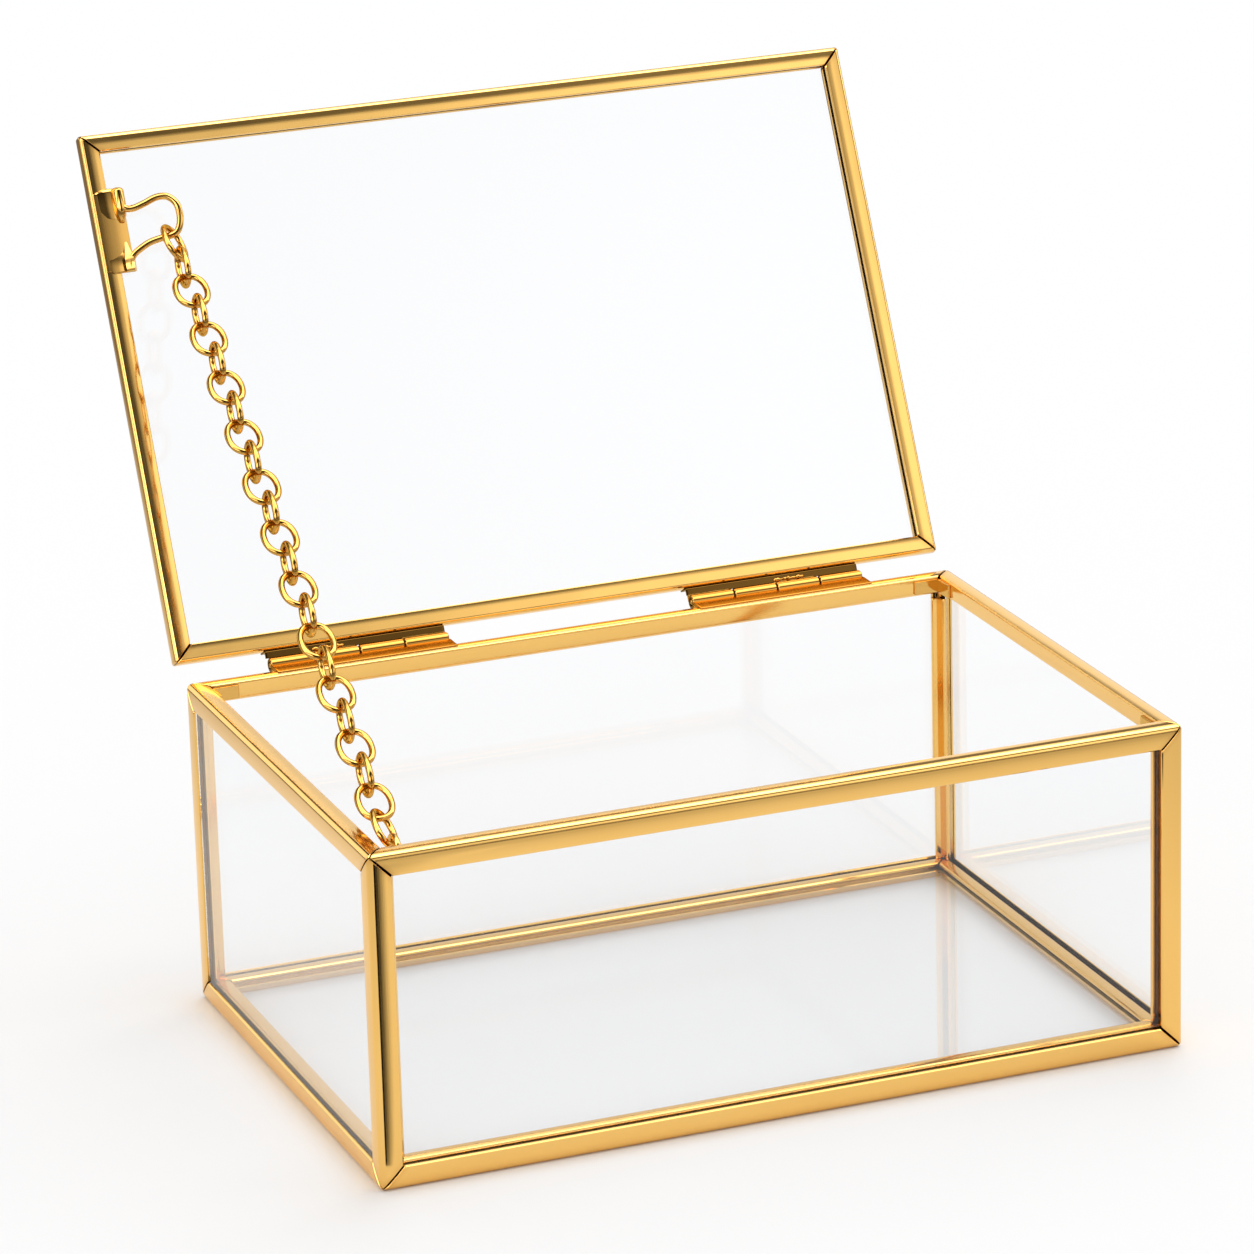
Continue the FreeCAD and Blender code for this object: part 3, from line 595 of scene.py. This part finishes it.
def knuckle_section(start, end):
    """A knuckle's section: ends and bore darkened with painted shade, worn edges, straight outside."""
    bore, shoulder, middle = pin_radius + pin_clear, barrel_radius - knuckle_worn, (start + end) / 2
    return [
        (start, bore, 1), (start, shoulder, 0.5), (start + knuckle_worn, barrel_radius, 0),
        (middle, barrel_radius, 0), (end - knuckle_worn, barrel_radius, 0), (end, shoulder, 0.5),
        (end, bore, 1), (middle, bore, 1),
    ]


def solder_bead(start, origin, axes):
    """Solder along a lid tongue: a wire whose radius ripples as a sum of two sines."""
    run = np.linspace(start + solder_start, start + solder_end, 40)
    local = np.stack([run, np.full_like(run, stub + solder_off), np.full_like(run, lid_face)], 1)
    ripple = 0.34 + 0.12 * np.sin(run * 2.7) + 0.06 * np.sin(run * 6.1 + 1)
    return round_wire(np.asarray(origin) + local @ np.array(axes, float), axes[2], ripple, False)


def hinge_leaf(first, plate, tongue, origin, axes, plate_shade=0.0, soldered=None):
    """A leaf in its own frame (along the pin, towards its strip, up or down): plate, tongues, knuckles.

    plate and tongue are folded lines. first is the leaf's first knuckle, the darkness after the axes
    the painted shade over its plate, and soldered the knuckle whose tongue has the solder.
    """
    *shape, dark = carried_strip(plate, square_cut(0), square_cut(hinge_length), origin, axes)
    parts = [(*shape, np.maximum(dark, plate_shade))]
    for number in range(first, knuckles, 2):
        start = knuckle_pitch * number + knuckle_gap / 2
        end = start + knuckle_pitch - knuckle_gap
        parts.append(carried_strip(tongue, square_cut(start), square_cut(end), origin, axes))
        span = sorted(origin[0] + axes[0][0] * s for s in (start, end))
        parts.append(turned_sleeve(knuckle_section(*span), (0, *origin[1:]), np.eye(3)))
        if number == soldered:
            parts.append(solder_bead(start, origin, axes))
    return joined(*parts)


rim_plate = folded_line([(stub, rim_face), (hinge_back + leaf_lap, rim_face)], leaf_thick)
rim_tongue = folded_line([(rim_tongue_start, rim_face), (stub + tongue_lap, rim_face)], leaf_thick)
lid_plate = folded_line([
    (stub, lid_face), (hinge_back, lid_face, leaf_round), (hinge_back, -barrel_radius - leaf_drop),
], leaf_thick)
lid_tongue = folded_line([(lid_tongue_start, lid_face), (stub + tongue_lap, lid_face)], leaf_thick)
rim_leaf_axes = [(-1, 0, 0), (0, -1, 0), (0, 0, 1)]
lid_leaf_axes = [(1, 0, 0), (0, -1, 0), (0, 0, -1)]
half_hinge = np.array([hinge_length / 2, 0, 0])
pins = []
# Each hinge's side, its sign of x, its first knuckle on each leaf and the soldered one.
for side, across, first, soldered in (("left", -1, 1, 1), ("right", 1, 0, 2)):
    middle = hinge_line + (across * hinge_spread / 2, 0, 0)
    leaf = hinge_leaf(first, rim_plate, rim_tongue, middle + half_hinge, rim_leaf_axes)
    node = f"hinge_{side}_case_leaf"
    make_piece(f"{side}_rim_leaf", leaf, hinge_brass, "case", node)
    leaf = hinge_leaf(
        first, lid_plate, lid_tongue, middle - half_hinge, lid_leaf_axes, lid_leaf_shade, soldered,
    )
    node = f"hinge_{side}_lid_leaf"
    make_piece(f"{side}_lid_leaf", leaf, hinge_brass, "lid", node, lid_open)
    pin = middle + np.linspace(-0.5, 0.5, 12)[:, None] * (hinge_length - pin_short, 0, 0)
    pins.append(round_wire(pin, (0, 0, 1), pin_radius, False))
make_piece("pins", joined(*pins), hinge_brass, "case", "hinge_pins")

# Bracket: a thin brass sheet lapped on the flange of the lid's left strip and brazed there.
# Its two ends are pressed into rolls, each on a low shoulder, in which the bail turns: the front
# roll is round, and the back one is crimped to flat facets.
bracket_front = 11.0
bracket_length = 16.7
bracket_end = bracket_front + bracket_length
bracket_sheet = 0.28
bracket_crown = 0.12
lap_reach = 3.0
lap_overhang = 2.7
lap_front_inset = 0.8
lap_back_inset = 0.5
bail_front = 15.2
bail_span = 9.7
bail_back = bail_front + bail_span
bracket_place = np.array([-width / 2 + lid_flange, -depth / 2, lid_bottom])
bracket_axes = [(0, 1, 0), (1, 0, 0), (0, 0, -1)]
bracket_clear = 0.03
roll_nose = 0.9
front_sides = 48
back_facets = 5
# Half width, height and place across of the roll and of its shoulder.
PRESSINGS = ((1.34, 2.3, 1.76), (2.85, 0.61, 0.2))


def pressed_roll(section, sides):
    """A roll and its shoulder: one section turned as two ellipses, flattened on the strip's face."""
    shapes = []
    for half_wide, tall, across in PRESSINGS:
        middle = bracket_place + (across, 0, 0)
        axes = [(0, 1, 0), (half_wide, 0, 0), (0, 0, -tall)]
        points, *rest = turned_sleeve(section, middle, axes, sides)
        points[:, 2] = np.minimum(points[:, 2], lid_bottom - bracket_clear)
        shapes.append((points, *rest))
    return joined(*shapes)


lap_lines = folded_line(
    [(-lap_reach, bracket_sheet), (lap_overhang, bracket_sheet)], bracket_sheet, bracket_crown,
)
lap = carried_strip(
    lap_lines, square_cut(bracket_front + lap_front_inset), square_cut(bracket_end - lap_back_inset),
    bracket_place, bracket_axes,
)
# Points along each roll: place along the strip, share of the full size, and darkness: painted shade
# where the roll closes down on the sheet.
nose = np.linspace(0.04, np.pi / 2, 10)
front_roll = [(bracket_front + roll_nose * (1 - np.cos(d)), np.sin(d), 0) for d in nose] + [
    (bail_front - 1.2, 1.0, 0), (bail_front + 0.2, 0.97, 0), (bail_front + 1.6, 0.76, 0),
    (bail_front + 2.7, 0.42, 0.1), (bail_front + 3.0, 0.04, 0.5),
]
back_roll = [
    (bail_back - 3.2, 0.04, 0.5), (bail_back - 3.1, 0.22, 0.1), (bail_back + 0.3, 1.0, 0),
    (bracket_end - 0.5, 0.97, 0), (bracket_end - 0.1, 0.88, 0), (bracket_end, 0.7, 0),
    (bracket_end, 0.04, 0.6),
]
rolls = [pressed_roll(front_roll, front_sides), pressed_roll(back_roll, back_facets)]
bracket = joined(lap, *rolls)
make_piece("bracket", bracket, fitting_brass, "lid", "bail_bracket", lid_open)

# Bail: one brass wire bent to a loop with waved legs, whose ends turn in the bracket's rolls.
# The stay chain's last link hangs on the back leg beside the loop's bow.
bail_wire = 1.35
bail_tilt = np.radians(20.0)
roll_offset = 1.85
roll_radius = 1.25
bail_through = np.array([
    (13.0, 0), (13.8, 0), (14.6, 0.05), (15.55, 0.8), (15.75, 2.3), (15.25, 4.4), (14.5, 6.9),
    (14.75, 9.0), (16.3, 10.45), (18.4, 10.8), (20.4, 10.5), (21.7, 9.8), (22.25, 8.8), (22.4, 7.4),
    (22.6, 5.7), (22.95, 4.0), (23.7, 2.3), (24.5, 0.95), (25.4, 0.15), (26.0, 0), (26.7, 0),
])


def smooth_path(through, steps):
    """A Catmull-Rom curve through points: each span blends the cubic weights of its four nearest ones."""
    head, tail = 2 * through[:1] - through[1:2], 2 * through[-1:] - through[-2:-1]
    ends = np.concatenate([head, through, tail])
    p0, p1, p2, p3 = (ends[i:len(ends) - 3 + i, None] for i in range(4))
    t = np.arange(steps)[:, None] / steps
    square = (2 * p0 - 5 * p1 + 4 * p2 - p3) * t**2
    cube = (3 * p1 - p0 - 3 * p2 + p3) * t**3
    curve = 0.5 * (2 * p1 + (p2 - p0) * t + square + cube)
    return np.concatenate([curve.reshape(-1, through.shape[1]), through[-1:]])


bail_flat = smooth_path(bail_through, 5)
bail_axis = bracket_place + (roll_offset, 0, -roll_radius)
outwards = np.array([np.cos(bail_tilt), 0, -np.sin(bail_tilt)])
bail_path = bail_axis + bail_flat[:, :1] * (0, 1, 0) + bail_flat[:, 1:] * outwards
bail_normal = (-np.sin(bail_tilt), 0, -np.cos(bail_tilt))
bail = round_wire(bail_path, bail_normal, bail_wire / 2, False)
make_piece("bail", bail, fitting_brass, "lid", "chain_bail", lid_open)

# Stay chain: oval links bent from round brass wire, each closed at a butt joint and hooked in the next.
# Every other link is turned a quarter.
chain_brass = polished_brass(
    "chain_brass", pale=(0.66, 0.37, 0.09, 1), deep=(0.54, 0.28, 0.055, 1), gloss=(0.06, 0.14),
    rim_tint=(0.8, 0.62, 0.38, 1),
)
link_count = 24
link_width = 7.2
link_play = 0.1
link_points = 64
link_fullness = 0.9
end_twist = 45.0
nick_width = 0.035
nick_depth = 0.14
link_names = [f"chain_link_{n:02d}" for n in range(1, link_count + 1)]
centres = np.array([np.mean(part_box(n), 0) for n in link_names]) / mm
taut = centres[-1] - centres[0]
link_pitch = np.linalg.norm(taut) / (link_count - 1)
taut /= np.linalg.norm(taut)
end_radius = (link_width - chain_wire) / 2
half_straight = (link_pitch + chain_wire + link_play) / 2 - end_radius
sideways = np.array([1.0, 0, 0]) - taut * taut[0]
sideways /= np.linalg.norm(sideways)
upright = np.cross(taut, sideways)
bodies = frame["record"]["behaviour"]["bodies"]
body_of_link = {name: body for body, names in bodies.items() for name in names}


def oval_link(centre, twist):
    """A link: an oval with its cosine and sine raised to a power under 1, nicked once, turned by twist."""
    t = np.radians(twist)
    normal = np.cos(t) * sideways + np.sin(t) * upright
    across = np.cross(normal, taut)
    turn = (np.arange(link_points) + 0.5) / link_points * 2 * np.pi
    cos, sin = np.cos(turn), np.sin(turn)
    ahead = (half_straight + end_radius) * np.sign(cos) * np.abs(cos) ** link_fullness
    beside = end_radius * np.sign(sin) * np.abs(sin) ** link_fullness
    path = centre + ahead[:, None] * taut + beside[:, None] * across
    nick = np.exp(-((turn - np.pi / 2) / nick_width) ** 2)
    return round_wire(path, normal, chain_wire / 2 * (1 - nick_depth * nick), True)


for n, name in enumerate(link_names):
    twist = -end_twist if n in (0, link_count - 1) else 90.0 * (n % 2)
    link, body = oval_link(centres[n], twist), body_of_link[name]
    make_piece(f"wire_link_{n + 1:02d}", link, chain_brass, body, name)


# Studio: a white table that keeps the box's soft shadow, and a small card, black to white, that only
# shows as the dark line in the front post's bead. Mirrored in brass, the table darkens with distance.
def stage_sheet(name, corners, only_mirrored=False):
    """A flat stage piece through corners in metres; returns the emptied tree of its paint."""
    mesh = bpy.data.meshes.new(name)
    mesh.from_pydata(corners, [], [tuple(range(len(corners)))])
    sheet = bpy.data.objects.new(name, mesh)
    bpy.context.scene.collection.objects.link(sheet)
    paint = bpy.data.materials.new(name + "_paint")
    mesh.materials.append(paint)
    if only_mirrored:
        sheet.visible_camera = sheet.visible_diffuse = False
        sheet.visible_transmission = sheet.visible_shadow = False
    return new_tree(paint)


def mirrored_rays(tree):
    """1 for a ray that left a mirroring surface, 0 for one that went through glass or is direct."""
    ray = node_line(tree, "ShaderNodeLightPath").outputs
    return worked_out(tree, "SUBTRACT", ray["Is Glossy Ray"], ray["Is Transmission Ray"], True)


table_half = 3.0
# The far colour is painted shade, seen only in the brass's reflections of the table.
table_white, table_far_shade = (0.95, 0.95, 0.955, 1), (0.22, 0.20, 0.18, 1)
fade_start, fade_end = 0.15, 0.6
table_tree = stage_sheet("table", [
    (-table_half, -table_half, 0), (table_half, -table_half, 0), (table_half, table_half, 0),
    (-table_half, table_half, 0),
])
place = node_line(table_tree, "ShaderNodeTexCoord").outputs
away = node_line(table_tree, "ShaderNodeVectorMath", {0: place["Object"]}, operation="LENGTH")
fading = node_line(table_tree, "ShaderNodeMapRange", {
    "Value": away.outputs["Value"], "From Min": fade_start, "From Max": fade_end,
})
faded = worked_out(table_tree, "MULTIPLY", fading.outputs[0], mirrored_rays(table_tree))
matt = node_line(table_tree, "ShaderNodeBsdfDiffuse", {
    "Color": colour_mix(table_tree, faded, table_white, table_far_shade),
})
node_line(table_tree, "ShaderNodeOutputMaterial", {"Surface": matt.outputs[0]})

bead_inset = 0.5
post_bead = np.array([-width / 2 + bead_inset, -depth / 2 + bead_inset]) * mm
card_lift = 0.0004
card_near, card_far = 0.012, 0.24
card_left, card_right = np.radians([-97.0, -65.0])
black_until, white_from = np.radians([-80.0, -66.0])
card_black, card_white = 0.004, 0.95
bearings = np.array([card_left, card_left, card_right, card_right])
reach = np.array([card_near, card_far, card_far, card_near])
spots = post_bead + np.stack([np.cos(bearings), np.sin(bearings)], 1) * reach[:, None]
card_tree = stage_sheet("black_card", [(x, y, card_lift) for x, y in spots], only_mirrored=True)
place = node_line(card_tree, "ShaderNodeTexCoord").outputs
spoke = node_line(
    card_tree, "ShaderNodeVectorMath", {0: place["Object"], 1: (*post_bead, 0)}, operation="SUBTRACT",
)
axis = node_line(card_tree, "ShaderNodeSeparateXYZ", {0: spoke.outputs["Vector"]}).outputs
paling = node_line(card_tree, "ShaderNodeMapRange", {
    "Value": worked_out(card_tree, "ARCTAN2", axis["Y"], axis["X"]), "From Min": black_until,
    "From Max": white_from, "To Min": card_black, "To Max": card_white,
})
matt = node_line(card_tree, "ShaderNodeBsdfDiffuse", {"Color": paling.outputs[0]})
node_line(card_tree, "ShaderNodeOutputMaterial", {"Surface": matt.outputs[0]})

# Room: even white light on the table, and for the brass a white back wall, a large lamp overhead
# and a white front wall, dimmer on its left, with dark gaps between them, as strips round the box's
# length. A sun lamp, wide and high on the right, gives the soft shadow.
world = bpy.data.worlds.new("white_room")
bpy.context.scene.world = world
room_tree = new_tree(world)
ambient_level = 0.80
band_top = 3.6
share_top = 2.6
lamp_warmth = (1.0, 0.99, 0.97)
# Degrees round the box's length, from the back's level over the top to the front's, and brightness.
BANDS = (
    (0, 1.12), (24, 1.12), (26.5, 0.22), (68, 0.22), (76, 2.4), (84, 3.6), (106, 3.6), (117, 2.2),
    (124, 0.3), (136, 0.25), (144, 1.5), (163, 1.5), (173, 0.35), (180, 0.3),
)
# The direction's x, from the left to the right, and the share of each wall's brightness there.
BACK_SHARES = (
    (-1.0, 1.2), (-0.22, 1.2), (-0.15, 0.2), (0.05, 0.2), (0.1, 1.6), (0.24, 1.6), (0.3, 1.0), (1.0, 1.0),
)
FRONT_SHARES = (
    (-1.0, 2.6), (-0.6, 2.6), (-0.5, 0.06), (0.12, 0.06), (0.22, 0.42), (0.29, 0.5), (0.37, 1.0),
    (1.0, 1.0),
)
front_starts, front_full = np.radians([120.0, 130.0])


def level_ramp(value, low, high, levels, top, tone=(1.0, 1.0, 1.0)):
    """A ramp over a value from low to high, with stops (value, level) as shares of the top level."""
    share = node_line(room_tree, "ShaderNodeMapRange", {"Value": value, "From Min": low, "From Max": high})
    ramp = node_line(room_tree, "ShaderNodeValToRGB", {"Fac": share.outputs[0]})
    stops = ramp.color_ramp.elements
    while len(stops) < len(levels):
        stops.new(0.5)
    for stop, (place, level) in zip(stops, levels):
        stop.position = (place - low) / (high - low)
        stop.color = (*(level / top * np.array(tone)), 1)
    return ramp.outputs["Color"]


def wall_share(levels):
    """A wall's strength along its length, as the lamp's top level times its share."""
    ramp = level_ramp(axis["X"], -1.0, 1.0, levels, share_top)
    strength = node_line(room_tree, "ShaderNodeMapRange", {"Value": ramp, "To Max": band_top * share_top})
    return strength.outputs[0]


place = node_line(room_tree, "ShaderNodeTexCoord").outputs
axis = node_line(room_tree, "ShaderNodeSeparateXYZ", {0: place["Generated"]}).outputs
round_angle = worked_out(room_tree, "ARCTAN2", axis["Z"], axis["Y"])
bands = [(np.radians(degrees), level) for degrees, level in BANDS]
room = level_ramp(round_angle, 0.0, np.pi, bands, band_top, lamp_warmth)
ahead = node_line(room_tree, "ShaderNodeMapRange", {
    "Value": round_angle, "From Min": front_starts, "From Max": front_full,
})
strength = node_line(room_tree, "ShaderNodeMix", {
    "Factor": ahead.outputs[0], "A": wall_share(BACK_SHARES), "B": wall_share(FRONT_SHARES),
})
ambient = node_line(
    room_tree, "ShaderNodeBackground", {"Color": (1, 1, 1, 1), "Strength": ambient_level},
)
mirrored = node_line(room_tree, "ShaderNodeBackground", {"Color": room, "Strength": strength.outputs[0]})
seen = node_line(room_tree, "ShaderNodeMixShader", {
    0: mirrored_rays(room_tree), 1: ambient.outputs[0], 2: mirrored.outputs[0],
})
node_line(room_tree, "ShaderNodeOutputWorld", {"Surface": seen.outputs[0]})


def turned_to(back, level):
    """A frame whose third axis is back and whose first axis is nearest to level."""
    back = np.asarray(back, float) / np.linalg.norm(back)
    up = np.cross(back, level)
    up /= np.linalg.norm(up)
    turn = np.eye(4)
    turn[:3, 0], turn[:3, 1], turn[:3, 2] = np.cross(up, back), up, back
    return turn


lamp_from = (0.45, 0.25, 0.86)
lamp_data = bpy.data.lights.new("overhead_lamp", "SUN")
lamp_data.energy = 0.92
lamp_data.angle = np.radians(60)
lamp = bpy.data.objects.new("overhead_lamp", lamp_data)
lamp.matrix_world = Matrix(turned_to(lamp_from, (0, 1, 0)).tolist())
bpy.context.scene.collection.objects.link(lamp)

# Camera: a long lens, standing where the photograph's perspective puts it.
# Its focal length is measured in the photograph's pixels.
camera_azimuth, camera_elevation, camera_roll = np.radians([-21.18, 18.46, -1.61])
camera_place = np.array([-402.61, -1014.65, 443.64]) * mm
focal_pixels = 6190.3
photo_pixels = 1254
camera_back = np.array([
    np.sin(camera_azimuth) * np.cos(camera_elevation),
    -np.cos(camera_azimuth) * np.cos(camera_elevation),
    np.sin(camera_elevation),
])
turn = turned_to(camera_back, (np.cos(camera_azimuth), np.sin(camera_azimuth), 0.0))
level, rise = turn[:3, 0].copy(), turn[:3, 1].copy()
turn[:3, 0] = np.cos(camera_roll) * level + np.sin(camera_roll) * rise
turn[:3, 1] = np.cos(camera_roll) * rise - np.sin(camera_roll) * level
turn[:3, 3] = camera_place
lens = bpy.data.cameras.new("camera")
lens.sensor_width = 36.0
lens.lens = lens.sensor_width * focal_pixels / photo_pixels
lens.clip_end = 20.0
camera = bpy.data.objects.new("camera", lens)
camera.matrix_world = Matrix(turn.tolist())
bpy.context.scene.collection.objects.link(camera)
bpy.context.scene.camera = camera
bpy.context.scene.view_settings.view_transform = "Standard"
